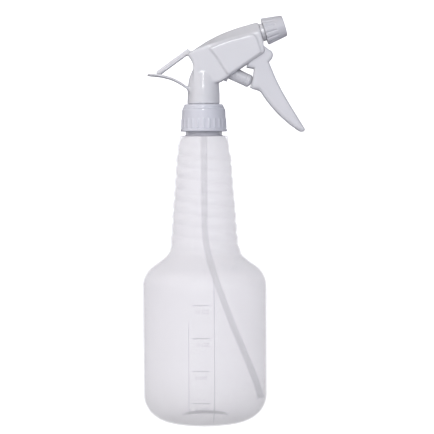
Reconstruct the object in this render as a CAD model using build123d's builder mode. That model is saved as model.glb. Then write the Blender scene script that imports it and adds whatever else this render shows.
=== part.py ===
from build123d import *

import os
from math import cos, radians, sin, tan

# A trigger spray bottle: a blow-moulded translucent bottle with a ribbed grip neck, and on it a
# finger-pump head of moulded plastic with a hand rest behind it and a turning nozzle in front.
#
# Frame: millimetres, +Z up, origin on the standing plane at the centre of the base. +X is the way
# the nozzle points, and the head is symmetric about the XZ plane.

# --- driving dimensions: bottle ----------------------------------------------------------------

body_radius = 42.5
bottle_wall = 1.0
base_corner = 18.0
push_up = 4.0
standing_ring = 3.5
shoulder_height = 101.3
shoulder_slope = 35.0
shoulder_round = 15.0
neck_taper = 4.4
neck_foot_round = 7.0
deck_height = 195.0
deck_radius = 16.9
deck_round = 1.5
rib_pitch = 7.8
rib_depth = 1.0
rib_rise = 7.1

finish_radius = 12.4
finish_wall = 1.9
finish_length = 16.4
thread_pitch = 4.23
thread_depth = 1.2
thread_foot = 2.0
thread_crest = 0.9
thread_turns = 1.25
thread_start = 6.5

# --- driving dimensions: closure and what it clamps --------------------------------------------

closure_gap = 2.9
closure_clearance = 0.4
closure_wall = 0.8
closure_flare = 0.6
closure_top = 1.8
closure_bead = 0.45
closure_bead_height = 1.4
closure_shoulder = 2.8
closure_grips = 24
grip_width = 1.9
grip_depth = 0.4
grip_height = 7.0

gasket_thickness = 1.5
flange_thickness = 1.6
turning_clearance = 0.3
seat_clearance = 0.03

# --- driving dimensions: pump body -------------------------------------------------------------

stem_radius = 6.2
tower_radius = 4.8
intake_radius = 2.0
fin_thickness = 1.2

pump_tilt = 25.5
pump_mouth_x = 18.6
pump_mouth_rise = 21.3
bore_radius = 5.5
bore_length = 19.0
pump_wall = 1.5

spout_tilt = 17.0
spout_x = 40.0
spout_rise = 48.3
spout_length = 38.0
spout_radius = 3.3
spout_bore = 2.2
spout_socket = 3.6
spout_socket_depth = 7.3

pivot_x = 39.5
pivot_rise = 35.9
pivot_radius = 1.8
pivot_clearance = 0.07

# --- driving dimensions: moving parts ----------------------------------------------------------

trigger_width = 13.0
trigger_wall = 1.6
piston_radius = 4.5
piston_neck = 11.2
piston_dome = 6.0
pad_angle = 9.0
pad_gap = 0.2
cup_width = 1.6
cup_spacing = 3.2
spring_radius = 3.7
spring_wire = 0.35
spring_coils = 4

valve_ball_radius = 2.0
valve_ball_lift = 1.2
outlet_ball_radius = 1.9

# --- driving dimensions: dip tube --------------------------------------------------------------

tube_radius = 2.5
tube_wall = 0.6
tube_socket_depth = 9.0

# --- driving dimensions: shroud ----------------------------------------------------------------

shroud_half_width = 9.5
shroud_wall = 1.3
roof_bevel = 4.6
column_radius = 11.1
column_draft = 0.4
knee_rise = 11.4
saddle_half_width = 9.5
saddle_thickness = 1.3
strut_half_width = 4.5
strut_thickness = 1.5
strut_web = 1.2

# --- driving dimensions: nozzle ----------------------------------------------------------------

nozzle_flange_radius = 6.1
nozzle_flange = 2.0
nozzle_thread_radius = 5.0
nozzle_thread_depth = 0.7
nozzle_pitch = 2.0
nozzle_turns = 2.0
spigot_radius = 3.6
spigot_length = 4.3
cap_rear_radius = 9.35
cap_front_radius = 7.15
cap_length = 14.2
cap_front_wall = 2.0
cap_flutes = 14
flute_radius = 1.0
flute_length = 8.4
orifice_radius = 0.5
ring_section = 0.7

# --- heights that follow from them -------------------------------------------------------------

mouth_height = deck_height + finish_length
flange_bottom = mouth_height + gasket_thickness
flange_top = flange_bottom + flange_thickness
closure_bottom = deck_height + closure_gap
closure_ceiling = flange_top + 0.1
closure_height = closure_ceiling + closure_top
column_bottom = closure_height + 0.2
column_knee = column_bottom + knee_rise
pump_mouth_z = column_bottom + pump_mouth_rise
spout_z = column_bottom + spout_rise
pivot_z = column_bottom + pivot_rise
closure_bore = finish_radius + thread_depth + closure_clearance

# The head's outlines are drawn for a column that stands at this height, and are lifted with it.
drawn_bottom = 216.6


def lifted(points):
    """Points (x, z) of the head, carried up or down with the foot of its column."""
    return [(x, z + column_bottom - drawn_bottom) for x, z in points]


# Side planes hold a sketch whose x runs along an axis and whose y is the distance from it.
upright = Plane.XZ
pump_side = Plane(
    origin=(pump_mouth_x, 0, pump_mouth_z),
    x_dir=(cos(radians(pump_tilt)), 0, -sin(radians(pump_tilt))),
    z_dir=(0, -1, 0),
)
spout_side = Plane(
    origin=(spout_x, 0, spout_z),
    x_dir=(cos(radians(spout_tilt)), 0, sin(radians(spout_tilt))),
    z_dir=(0, -1, 0),
)
pump_axis = Axis(pump_side.origin, pump_side.x_dir)
spout_axis = Axis(spout_side.origin, spout_side.x_dir)


def outline(plane, points):
    """A closed straight-sided face on a plane."""
    with BuildSketch(plane) as drawn:
        with BuildLine():
            Polyline(*points, close=True)
        make_face()
    return drawn.sketch


def bar(start, end, radius):
    """A rectangle from the axis out to a radius, to be revolved into a cylinder."""
    return [(start, 0), (end, 0), (end, radius), (start, radius)]


def thread(core, root, tip, base_width, tip_width, pitch, turns, start):
    """One helical ridge about +Z, from a root sunk in the wall to its tip, starting at a height."""
    path = Helix(pitch=pitch, height=pitch * turns, radius=core, mode=Mode.PRIVATE)
    ridge = outline(
        upright,
        [
            (root, -base_width / 2),
            (root, base_width / 2),
            (tip, tip_width / 2),
            (tip, -tip_width / 2),
        ],
    )
    swept = sweep(ridge, path=path, is_frenet=True, mode=Mode.PRIVATE)
    return Pos(0, 0, start) * swept


# --- bottle ------------------------------------------------------------------------------------

# The shoulder line falls at its slope to the wall, and the neck line rises at its taper to the deck.
shoulder_run = 1 / tan(radians(shoulder_slope))
neck_run = tan(radians(neck_taper))


def neck_radius(height):
    """Radius of the tapering neck at the foot of its ribs."""
    return deck_radius + (deck_height - height) * neck_run


foot_height = (
    shoulder_height + (body_radius - neck_radius(0)) / shoulder_run
) / (1 - neck_run / shoulder_run)
foot_radius = neck_radius(foot_height)
rib_start = foot_height + rib_rise
rib_count = int((deck_height - rib_start - 6) / rib_pitch)
ring_outer = body_radius - base_corner
ring_inner = ring_outer - standing_ring

with BuildPart() as bottle:
    with BuildSketch(upright):
        with BuildLine():
            hull = FilletPolyline(
                (ring_inner, 0),
                (body_radius, 0),
                (body_radius, shoulder_height),
                (foot_radius, foot_height),
                (neck_radius(rib_start), rib_start),
                radius=[base_corner, shoulder_round, neck_foot_round],
            )
            groove = rib_start
            for _ in range(rib_count):
                middle = groove + rib_pitch / 2
                ThreePointArc(
                    (neck_radius(groove), groove),
                    (neck_radius(middle) + rib_depth, middle),
                    (neck_radius(groove + rib_pitch), groove + rib_pitch),
                )
                groove += rib_pitch
            deck = FilletPolyline(
                (neck_radius(groove), groove),
                (deck_radius, deck_height),
                (finish_radius, deck_height),
                (finish_radius, mouth_height),
                radius=[deck_round, finish_wall / 4],
            )
            Polyline((finish_radius, mouth_height), (0, mouth_height), (0, push_up))
            ThreePointArc(
                (0, push_up),
                (ring_inner / 2, push_up * 0.72),
                (ring_inner, 0),
            )
        make_face()
    revolve(axis=Axis.Z)

    with BuildSketch(upright):
        with BuildLine():
            FilletPolyline(
                (ring_inner, bottle_wall),
                (body_radius - bottle_wall, bottle_wall),
                (body_radius - bottle_wall, shoulder_height),
                (foot_radius - bottle_wall, foot_height),
                (deck_radius - bottle_wall, deck_height - bottle_wall - deck_round),
                (finish_radius - finish_wall, deck_height + bottle_wall),
                (finish_radius - finish_wall, mouth_height),
                radius=[
                    base_corner - bottle_wall,
                    shoulder_round - bottle_wall,
                    neck_foot_round + bottle_wall,
                    deck_round,
                    deck_round,
                ],
            )
            Polyline(
                (finish_radius - finish_wall, mouth_height),
                (0, mouth_height),
                (0, push_up + bottle_wall),
            )
            ThreePointArc(
                (0, push_up + bottle_wall),
                (ring_inner / 2, push_up * 0.72 + bottle_wall),
                (ring_inner, bottle_wall),
            )
        make_face()
    revolve(axis=Axis.Z, mode=Mode.SUBTRACT)
    add(
        thread(
            finish_radius,
            finish_radius - 0.3,
            finish_radius + thread_depth,
            thread_foot,
            thread_crest,
            thread_pitch,
            thread_turns,
            deck_height + thread_start,
        )
    )
bottle.part.label = "bottle"

# --- closure: the ribbed screw ring that clamps the pump flange to the bottle's mouth -----------

closure_foot = closure_bore + closure_wall + closure_flare
closure_neck = closure_bore + closure_wall
through_hole = stem_radius + 3.4

with BuildPart() as closure:
    with BuildSketch(upright):
        with BuildLine():
            Polyline(
                (closure_bore, closure_bottom),
                (closure_foot + closure_bead, closure_bottom),
                (closure_foot + closure_bead, closure_bottom + closure_bead_height),
                (closure_foot, closure_bottom + closure_bead_height + 0.3),
                (closure_neck, closure_height - closure_shoulder),
                (closure_neck - 0.6, closure_height - closure_shoulder + 0.5),
                (closure_neck - 1.2, closure_height - 0.7),
                (closure_neck - 2.2, closure_height),
                (through_hole, closure_height),
                (through_hole, closure_ceiling),
                (closure_bore, closure_ceiling),
                close=True,
            )
        make_face()
    revolve(axis=Axis.Z)
    grip_foot = closure_bottom + closure_bead_height
    with PolarLocations(0, closure_grips):
        add(
            extrude(
                outline(
                    upright,
                    [
                        (closure_neck - 0.4, grip_foot),
                        (closure_foot + grip_depth, grip_foot),
                        (closure_foot + grip_depth - 0.1, grip_foot + grip_height - 1.2),
                        (closure_neck - 0.4, grip_foot + grip_height),
                    ],
                ),
                amount=grip_width / 2,
                both=True,
                mode=Mode.PRIVATE,
            )
        )
    add(
        thread(
            closure_bore,
            closure_bore + 0.3,
            finish_radius + closure_clearance,
            thread_foot,
            thread_crest,
            thread_pitch,
            thread_turns,
            deck_height + thread_start - thread_pitch / 2,
        )
    )
closure.part.label = "closure"

# --- gasket ------------------------------------------------------------------------------------

retainer_radius = stem_radius - 1.6
collar_radius = stem_radius + 0.8

with BuildPart() as bottle_gasket:
    with BuildSketch(Plane.XY.offset(mouth_height)):
        Circle(finish_radius - 0.2)
        Circle(collar_radius + turning_clearance, mode=Mode.SUBTRACT)
    extrude(amount=gasket_thickness)
bottle_gasket.part.label = "bottle_gasket"

# --- pump body: flange, ribbed stem, sloping pump cylinder, spout tube and trigger pin ----------

socket_top = flange_bottom + 13.0
pump_end = -bore_length - pump_wall
pump_outer = bore_radius + pump_wall
fin_reach = column_radius - shroud_wall - turning_clearance
spout_front = -0.7
lug_half_width = trigger_width / 2 - trigger_wall - 0.5

with BuildPart() as pump_body:
    revolve(
        outline(
            upright,
            [
                (0, flange_bottom),
                (finish_radius + 0.5, flange_bottom),
                (finish_radius + 0.5, flange_top),
                (through_hole - turning_clearance, flange_top),
                (through_hole - turning_clearance, column_bottom + 0.8),
                (stem_radius, column_bottom + 0.8),
                (stem_radius, column_knee),
                (tower_radius, column_knee + 1),
                (tower_radius, pump_mouth_z + 4),
                (0, pump_mouth_z + 4),
            ],
        ),
        axis=Axis.Z,
    )
    with PolarLocations(0, 4, start_angle=45):
        add(
            extrude(
                outline(
                    upright,
                    [
                        (stem_radius - 1, column_bottom),
                        (fin_reach, column_bottom),
                        (fin_reach, column_knee - 4),
                        (stem_radius - 1, column_knee + 2),
                    ],
                ),
                amount=fin_thickness / 2,
                both=True,
                mode=Mode.PRIVATE,
            )
        )
    # The cylinder and the spout tube, and the web and pin lug that join them.
    revolve(outline(pump_side, bar(pump_end, 0, pump_outer)), axis=pump_axis)
    revolve(outline(spout_side, bar(-spout_length - 1.5, 0, spout_radius)), axis=spout_axis)
    revolve(
        outline(
            spout_side,
            bar(-spout_socket_depth - 2, spout_front, spout_socket + 1.0),
        ),
        axis=spout_axis,
    )
    extrude(
        outline(
            upright,
            lifted([(4, 245), (16, 243), (30, 258.5), (30, 261), (6, 254)]),
        ),
        amount=0.8,
        both=True,
    )
    with BuildSketch(upright):
        with BuildLine():
            Polyline(
                (pivot_x - 3.2, pivot_z),
                (pivot_x - 5.5, pivot_z + 9.5),
                (pivot_x - 2.8, pivot_z + 10.0),
                (pivot_x - 1.2, pivot_z + 4.2),
                (pivot_x + 1.5, pivot_z + 2.2),
                (pivot_x + 3.0, pivot_z),
                close=True,
            )
        make_face()
        with Locations((pivot_x, pivot_z)):
            Circle(3.1)
    extrude(amount=lug_half_width, both=True)
    with BuildSketch(upright):
        with Locations((pivot_x, pivot_z)):
            Circle(pivot_radius)
    extrude(amount=trigger_width / 2 + 0.4, both=True)
    # Bores: retainer socket, intake, pump chamber, outlet passage, valve pocket and nozzle socket.
    revolve(
        outline(upright, [(0, 0), (retainer_radius, 0), (retainer_radius, socket_top), (0, socket_top)]),
        axis=Axis.Z,
        mode=Mode.SUBTRACT,
    )
    intake_top = pump_mouth_z + 5.6
    revolve(
        outline(
            upright,
            [(0, 0), (intake_radius, 0), (intake_radius, intake_top), (0, intake_top)],
        ),
        axis=Axis.Z,
        mode=Mode.SUBTRACT,
    )
    revolve(
        outline(pump_side, bar(-bore_length, 1, bore_radius)),
        axis=pump_axis,
        mode=Mode.SUBTRACT,
    )
    revolve(
        outline(spout_side, bar(-spout_length + 2.0, 0, spout_bore)),
        axis=spout_axis,
        mode=Mode.SUBTRACT,
    )
    revolve(
        outline(spout_side, bar(-spout_length, -spout_length + 2.1, spout_bore / 2)),
        axis=spout_axis,
        mode=Mode.SUBTRACT,
    )
    revolve(
        outline(spout_side, bar(-spout_socket_depth, 1, spout_socket)),
        axis=spout_axis,
        mode=Mode.SUBTRACT,
    )
    outlet_start = spout_side.from_local_coords((-spout_length + 0.6, 0, 0))
    with Locations(Plane(origin=outlet_start, z_dir=(0, 0, -1))):
        Cylinder(
            spout_bore / 2,
            7.0,
            align=(Align.CENTER, Align.CENTER, Align.MIN),
            mode=Mode.SUBTRACT,
        )
pump_body.part.label = "pump_body"

# --- tube retainer: holds the dip tube from below and cages the inlet ball ----------------------

retainer_bottom = flange_bottom - tube_socket_depth - 2.0
valve_seat = flange_bottom + 2.6
inlet_ball_height = valve_seat + valve_ball_radius * 0.34
cage_top = inlet_ball_height + valve_ball_radius + valve_ball_lift
tube_top = retainer_bottom + tube_socket_depth

with BuildPart() as tube_retainer:
    revolve(
        outline(
            upright,
            [
                (tube_radius + seat_clearance, retainer_bottom),
                (tube_radius + 1.5, retainer_bottom),
                (tube_radius + 1.5, flange_bottom - 2.0),
                (collar_radius, flange_bottom - 1.2),
                (collar_radius, flange_bottom),
                (retainer_radius - seat_clearance, flange_bottom),
                (retainer_radius - seat_clearance, cage_top + 1.0),
                (intake_radius - 0.4, cage_top + 1.0),
                (intake_radius - 0.4, cage_top),
                (valve_ball_radius + 0.5, cage_top),
                (valve_ball_radius + 0.5, valve_seat + 1.0),
                (intake_radius - 0.4, valve_seat - 0.6),
                (intake_radius - 0.4, tube_top),
                (tube_radius + seat_clearance, tube_top),
            ],
        ),
        axis=Axis.Z,
    )
tube_retainer.part.label = "tube_retainer"

# --- valve balls -------------------------------------------------------------------------------

outlet_ball_place = spout_side.from_local_coords(
    (-spout_length + 2.0 + outlet_ball_radius * 0.82 + 0.05, 0, 0)
)

with BuildPart() as inlet_ball:
    with Locations((0, 0, inlet_ball_height)):
        Sphere(valve_ball_radius)
inlet_ball.part.label = "inlet_ball"

with BuildPart() as outlet_ball:
    with Locations(outlet_ball_place):
        Sphere(outlet_ball_radius)
outlet_ball.part.label = "outlet_ball"

# --- dip tube: straight down the neck, then bowed until its cut end meets the side wall ---------

tube_reach = body_radius - bottle_wall - tube_radius - 0.9
tube_route = [
    (0, 0, tube_top - 0.1),
    (0, 0, deck_height - 45.0),
    (0.005 * tube_reach, 0, foot_height + 3.0),
    (0.267 * tube_reach, 0, 0.765 * foot_height),
    (0.585 * tube_reach, 0, 0.478 * foot_height),
    (0.942 * tube_reach, 0, 0.217 * foot_height),
    (tube_reach, 0, bottle_wall + 13.6),
]


def bend_radii(points):
    """The largest radius that each corner's two runs allow."""
    radii = []
    for before, corner, after in zip(points, points[1:], points[2:]):
        arriving = Vector(*corner) - Vector(*before)
        leaving = Vector(*after) - Vector(*corner)
        turn = radians(arriving.get_angle(leaving))
        radii.append(0.45 * min(arriving.length, leaving.length) / tan(turn / 2))
    return radii


tube_bends = bend_radii(tube_route)
print("dip tube bend radii:", [round(r) for r in tube_bends])

with BuildPart() as dip_tube:
    with BuildLine() as tube_path:
        FilletPolyline(*tube_route, radius=tube_bends)
    with BuildSketch(Plane.XY.offset(tube_top - 0.1)):
        Circle(tube_radius)
        Circle(tube_radius - tube_wall, mode=Mode.SUBTRACT)
    sweep(path=tube_path.line)
dip_tube.part.label = "dip_tube"

# --- piston, its two cups and the return spring -------------------------------------------------

# The pad of the trigger lies in a plane through the pivot, and the piston's dome stops short of it.
pivot_along = (pivot_x - pump_mouth_x) * cos(radians(pump_tilt)) - (
    pivot_z - pump_mouth_z
) * sin(radians(pump_tilt))
pivot_above = (pivot_x - pump_mouth_x) * sin(radians(pump_tilt)) + (
    pivot_z - pump_mouth_z
) * cos(radians(pump_tilt))
pad_crossing = pivot_along + pivot_above * tan(radians(pad_angle))
dome_centre = pad_crossing - (piston_dome + pad_gap) / cos(radians(pad_angle))
dome_rim = dome_centre + (piston_dome**2 - (piston_radius - 0.1) ** 2) ** 0.5
head_front = -1.5
head_back = head_front - 2 * cup_spacing + 1.4
cup_seats = [head_front - 0.6 - cup_width, head_front - 0.6 - cup_width - 2.2]

with BuildPart() as piston:
    with BuildSketch(pump_side):
        with BuildLine():
            Polyline(
                (dome_centre + piston_dome, 0),
                (head_back, 0),
                (head_back, bore_radius - 0.25),
                (cup_seats[1], bore_radius - 0.25),
                (cup_seats[1], bore_radius - 1.4),
                (cup_seats[1] + cup_width, bore_radius - 1.4),
                (cup_seats[1] + cup_width, bore_radius - 0.25),
                (cup_seats[0], bore_radius - 0.25),
                (cup_seats[0], bore_radius - 1.4),
                (cup_seats[0] + cup_width, bore_radius - 1.4),
                (cup_seats[0] + cup_width, bore_radius - 0.25),
                (head_front, bore_radius - 0.25),
                (head_front, piston_radius + 0.1),
                (piston_neck - 0.4, piston_radius - 0.15),
                (piston_neck, piston_radius - 0.4),
                (piston_neck + 0.4, piston_radius - 0.1),
                (dome_rim, piston_radius - 0.1),
            )
            ThreePointArc(
                (dome_rim, piston_radius - 0.1),
                (
                    dome_centre + piston_dome * cos(radians(20)),
                    piston_dome * sin(radians(20)),
                ),
                (dome_centre + piston_dome, 0),
            )
        make_face()
    revolve(axis=pump_axis)
piston.part.label = "piston"


def cup(seat):
    """The section of one lipped piston ring in its groove."""
    return outline(
        pump_side,
        [
            (seat + 0.05, bore_radius - 1.37),
            (seat + cup_width - 0.05, bore_radius - 1.37),
            (seat + cup_width - 0.05, bore_radius - 0.4),
            (seat + cup_width / 2, bore_radius - 0.2),
            (seat + 0.05, bore_radius - seat_clearance),
        ],
    )


with BuildPart() as piston_cup_outer:
    revolve(cup(cup_seats[0]), axis=pump_axis)
piston_cup_outer.part.label = "piston_cup_outer"

with BuildPart() as piston_cup_inner:
    revolve(cup(cup_seats[1]), axis=pump_axis)
piston_cup_inner.part.label = "piston_cup_inner"

spring_start = -bore_length + spring_wire + 0.05
spring_end = head_back - spring_wire - 0.05
spring_plane = Plane(
    origin=pump_side.from_local_coords((spring_start, 0, 0)),
    x_dir=(0, 1, 0),
    z_dir=pump_side.x_dir,
)

with BuildPart() as return_spring:
    coil = Helix(
        pitch=(spring_end - spring_start) / spring_coils,
        height=spring_end - spring_start,
        radius=spring_radius,
        mode=Mode.PRIVATE,
    )
    with BuildSketch(Plane(origin=coil @ 0, z_dir=coil % 0)) as wire:
        Circle(spring_wire)
    wound = sweep(wire.sketch, path=coil, is_frenet=True, mode=Mode.PRIVATE)
    add(spring_plane.location * wound)
return_spring.part.label = "return_spring"

# --- trigger: a channel with two cheeks, a front wall and a pad for the piston ------------------

front_edge = lifted([(45.2, 244.9), (48.6, 234.4), (56.0, 220.3), (63.6, 207.6), (68.4, 199.6)])
belly_edge = lifted(
    [(65.6, 197.6), (58.7, 202.0), (52.1, 207.9), (46.3, 214.3), (41.3, 221.0), (38.0, 225.9)]
)
pad_foot = pump_side.from_local_coords((pad_crossing, 0, 0))
pad_run = (pivot_x - pad_foot.X, pivot_z - pad_foot.Z)


def on_pad(share):
    """A point of the pad's face, as a share of the way from the piston's axis up to the pivot."""
    return (pad_foot.X + share * pad_run[0], pad_foot.Z + share * pad_run[1])


with BuildPart() as trigger:
    with BuildSketch(upright):
        with BuildLine():
            Spline(*front_edge)
            ThreePointArc(front_edge[-1], *lifted([(68.2, 197.6)]), belly_edge[0])
            Spline(*belly_edge)
            Polyline(
                belly_edge[-1],
                *lifted(
                    [
                        (33.2, 226.6),
                        (32.4, 228.0),
                        (34.2, 240.2),
                        (29.0, 241.2),
                        (30.8, 248.5),
                        (36.4, 254.6),
                    ]
                ),
            )
            ThreePointArc(*lifted([(36.4, 254.6), (39.3, 256.4), (42.4, 254.9)]))
            Line(*lifted([(42.4, 254.9), (44.6, 253.2)]))
            ThreePointArc(*lifted([(44.6, 253.2), (47.0, 248.9)]), front_edge[0])
        make_face()
    extrude(amount=trigger_width / 2, both=True)
    # Hollow from behind, leaving the front wall.
    with BuildSketch(upright):
        with BuildLine():
            Polyline(
                *lifted(
                    [
                        (20, 262),
                        (45.6, 262),
                        (45.2, 249.0),
                        (43.3, 245.0),
                        (46.9, 233.8),
                        (54.4, 219.4),
                        (62.1, 206.7),
                        (64.9, 201.8),
                        (60.0, 196.0),
                        (20, 190),
                    ]
                ),
                close=True,
            )
        make_face()
    extrude(amount=trigger_width / 2 - trigger_wall, both=True, mode=Mode.SUBTRACT)
    # The pad that the piston bears on, and its lower shelf.
    pad_low = on_pad(-0.19)
    pad_high = on_pad(0.42)
    extrude(
        outline(
            upright,
            [
                pad_low,
                pad_high,
                (pad_high[0] + 1.8, pad_high[1]),
                (pad_low[0] + 2.6, pad_low[1] + 0.4),
                (46.5, pad_low[1] - 4.6),
                (46.5, pad_low[1] - 5.8),
            ],
        ),
        amount=trigger_width / 2 - trigger_wall / 2,
        both=True,
    )
    with BuildSketch(upright):
        with Locations((pivot_x, pivot_z)):
            Circle(pivot_radius + pivot_clearance)
    extrude(amount=trigger_width, both=True, mode=Mode.SUBTRACT)
trigger.part.label = "trigger"

# --- shroud: the outer casing with its column, roof, strut and hand saddle ----------------------

roof_edge = lifted(
    [(-11.0, 250.0), (-7.5, 252.9), (-2.5, 256.2), (2.4, 259.3), (9.0, 262.8), (15.7, 265.6)]
)
casing_rest = lifted(
    [
        (23.9, 268.3),
        (37.0, 271.9),
        (40.9, 257.3),
        (41.5, 251.2),
        (12.3, 231.7),
        (-7.0, 232.0),
        (-7.0, 242.7),
        (-8.3, 246.5),
    ]
)


def drawn_in(points, inset):
    """The corners of a closed clockwise outline, each moved inwards so every side shifts by inset."""
    moved = []
    for before, corner, after in zip(points[-1:] + points[:-1], points, points[1:] + points[:1]):
        arriving = (Vector(*corner) - Vector(*before)).normalized()
        leaving = (Vector(*after) - Vector(*corner)).normalized()
        inward = Vector(arriving.Y + leaving.Y, -arriving.X - leaving.X)
        reach = inset / (1 + arriving.dot(leaving))
        moved.append((corner[0] + inward.X * reach, corner[1] + inward.Y * reach))
    return moved


def casing(inset):
    """The side outline of the casing's head, drawn in by an inset all round."""
    corners = drawn_in(roof_edge + casing_rest, inset)
    arched = corners[: len(roof_edge)]
    with BuildSketch(upright) as side:
        with BuildLine():
            Spline(*arched)
            Polyline(arched[-1], *corners[len(roof_edge) :], arched[0])
        make_face()
    return side.sketch


def column(inset):
    """The column's half section, drawn in by an inset: a tapering tube with a domed top."""
    with BuildSketch(upright) as half:
        with BuildLine():
            Polyline(
                (0, column_bottom - inset),
                (column_radius - inset, column_bottom - inset),
                (column_radius - column_draft - inset, column_knee),
            )
            ThreePointArc(
                (column_radius - column_draft - inset, column_knee),
                (column_radius - 2.3 - inset, column_knee + 9 - inset / 2),
                (column_radius - 6.5 - inset, column_knee + 15 - inset),
            )
            Polyline(
                (column_radius - 6.5 - inset, column_knee + 15 - inset),
                (0, column_knee + 15.5 - inset),
                (0, column_bottom - inset),
            )
        make_face()
    return half.sketch


with BuildPart() as shroud:
    extrude(casing(0), amount=shroud_half_width, both=True)
    roof_level = column_bottom + 35.4
    roof = shroud.edges().filter_by(
        lambda e: e.center().Z > roof_level and abs(e.center().Y) > shroud_half_width - 0.5
    )
    roof = roof.filter_by(lambda e: e.bounding_box().size.Y < 0.1 and e.bounding_box().size.X > 10)
    chamfer(roof, length=roof_bevel)
    revolve(column(0), axis=Axis.Z)
    # Saddle and strut.
    saddle_back = lifted([(-38.3, 236.9), (-22.5, 235.0), (-9.6, 227.2)])
    saddle_face = lifted(
        [
            (-9.6, 227.2 - saddle_thickness * 1.2),
            (-22.8, 235.0 - saddle_thickness),
            (-38.3, 236.9 - saddle_thickness),
        ]
    )
    with BuildSketch(upright) as saddle_side:
        with BuildLine():
            ThreePointArc(*saddle_back)
            Line(saddle_back[-1], saddle_face[0])
            ThreePointArc(*saddle_face)
            Line(saddle_face[-1], saddle_back[0])
        make_face()
    extrude(amount=saddle_half_width, both=True)
    extrude(
        outline(
            upright, lifted([(-9.5, 251.2), (-29.8, 236.0), (-27.4, 236.0), (-8.0, 250.6)])
        ),
        amount=strut_half_width,
        both=True,
    )
    extrude(
        outline(
            upright, lifted([(-10.5, 250.2), (-28.8, 236.2), (-24.6, 236.0), (-7.0, 249.2)])
        ),
        amount=strut_web,
        both=True,
    )
    # Hollow it.
    inner_half = shroud_half_width - shroud_wall
    with BuildPart(mode=Mode.PRIVATE) as hollow:
        extrude(casing(shroud_wall), amount=inner_half, both=True)
        inner_roof = hollow.edges().filter_by(
            lambda e: e.center().Z > roof_level and abs(e.center().Y) > inner_half - 0.5
        )
        inner_roof = inner_roof.filter_by(
            lambda e: e.bounding_box().size.Y < 0.1 and e.bounding_box().size.X > 8
        )
        chamfer(inner_roof, length=roof_bevel - 0.5)
        revolve(column(shroud_wall), axis=Axis.Z)
    add(hollow.part, mode=Mode.SUBTRACT)
    # Open the underside to the trigger and the pump, and pierce the front for the spout.
    extrude(
        outline(upright, lifted([(10.8, 233.2), (43.5, 255.0), (43.5, 249), (14, 228)])),
        amount=inner_half,
        both=True,
        mode=Mode.SUBTRACT,
    )
    extrude(
        outline(upright, lifted([(36, 247), (46, 247), (46, 257.2), (36, 256)])),
        amount=trigger_width / 2 + 0.7,
        both=True,
        mode=Mode.SUBTRACT,
    )
    revolve(
        outline(spout_side, bar(-6, 4, spout_socket + 1.0 + turning_clearance)),
        axis=spout_axis,
        mode=Mode.SUBTRACT,
    )
shroud.part.label = "shroud"

# --- nozzle: seat, swirl core, ring and turning cap ---------------------------------------------

thread_start_along = spout_front + nozzle_flange
thread_end_along = thread_start_along + 7.2
spigot_end = thread_end_along + spigot_length
spout_plane = Plane(origin=spout_side.origin, x_dir=(0, 1, 0), z_dir=spout_side.x_dir)
seat_bore = 2.4

with BuildPart() as nozzle_seat:
    revolve(
        outline(
            spout_side,
            [
                (-spout_socket_depth + 0.2, seat_bore),
                (-spout_socket_depth + 0.2, spout_socket - seat_clearance),
                (spout_front, spout_socket - seat_clearance),
                (spout_front, nozzle_flange_radius),
                (thread_start_along, nozzle_flange_radius),
                (thread_start_along, nozzle_thread_radius),
                (thread_end_along, nozzle_thread_radius),
                (thread_end_along + 0.3, spigot_radius),
                (spigot_end, spigot_radius),
                (spigot_end, seat_bore),
            ],
        ),
        axis=spout_axis,
    )
    add(
        spout_plane.location
        * thread(
            nozzle_thread_radius,
            nozzle_thread_radius - 0.2,
            nozzle_thread_radius + nozzle_thread_depth,
            1.0,
            0.4,
            nozzle_pitch,
            nozzle_turns,
            thread_start_along + 1.6,
        )
    )
nozzle_seat.part.label = "nozzle_seat"

probe_end = -spout_length + 2.0 + 2 * outlet_ball_radius + 1.1

with BuildPart() as swirl_core:
    revolve(
        outline(
            spout_side,
            [
                (probe_end, 0),
                (probe_end, 1.1),
                (-4, 1.1),
                (-3, seat_bore - 0.9),
                (6, seat_bore - 0.9),
                (6, seat_bore - seat_clearance),
                (spigot_end + 1.05, seat_bore - seat_clearance),
                (spigot_end + 1.05, 0),
            ],
        ),
        axis=spout_axis,
    )
    for turn in (0, 120, 240):
        slot = Pos(0, 0, spigot_end) * Rot(0, 0, turn) * Box(
            2.6, 0.6, 1.4, align=(Align.MIN, Align.CENTER, Align.CENTER), mode=Mode.PRIVATE
        )
        add(spout_plane.location * slot, mode=Mode.SUBTRACT)
swirl_core.part.label = "swirl_core"

cap_rear = thread_start_along + 0.4
cap_front = cap_rear + cap_length
cap_bore = nozzle_thread_radius + nozzle_thread_depth + 0.3
ring_place = thread_end_along + 1.4
ring_bore = spigot_radius + 2 * ring_section + seat_clearance

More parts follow.
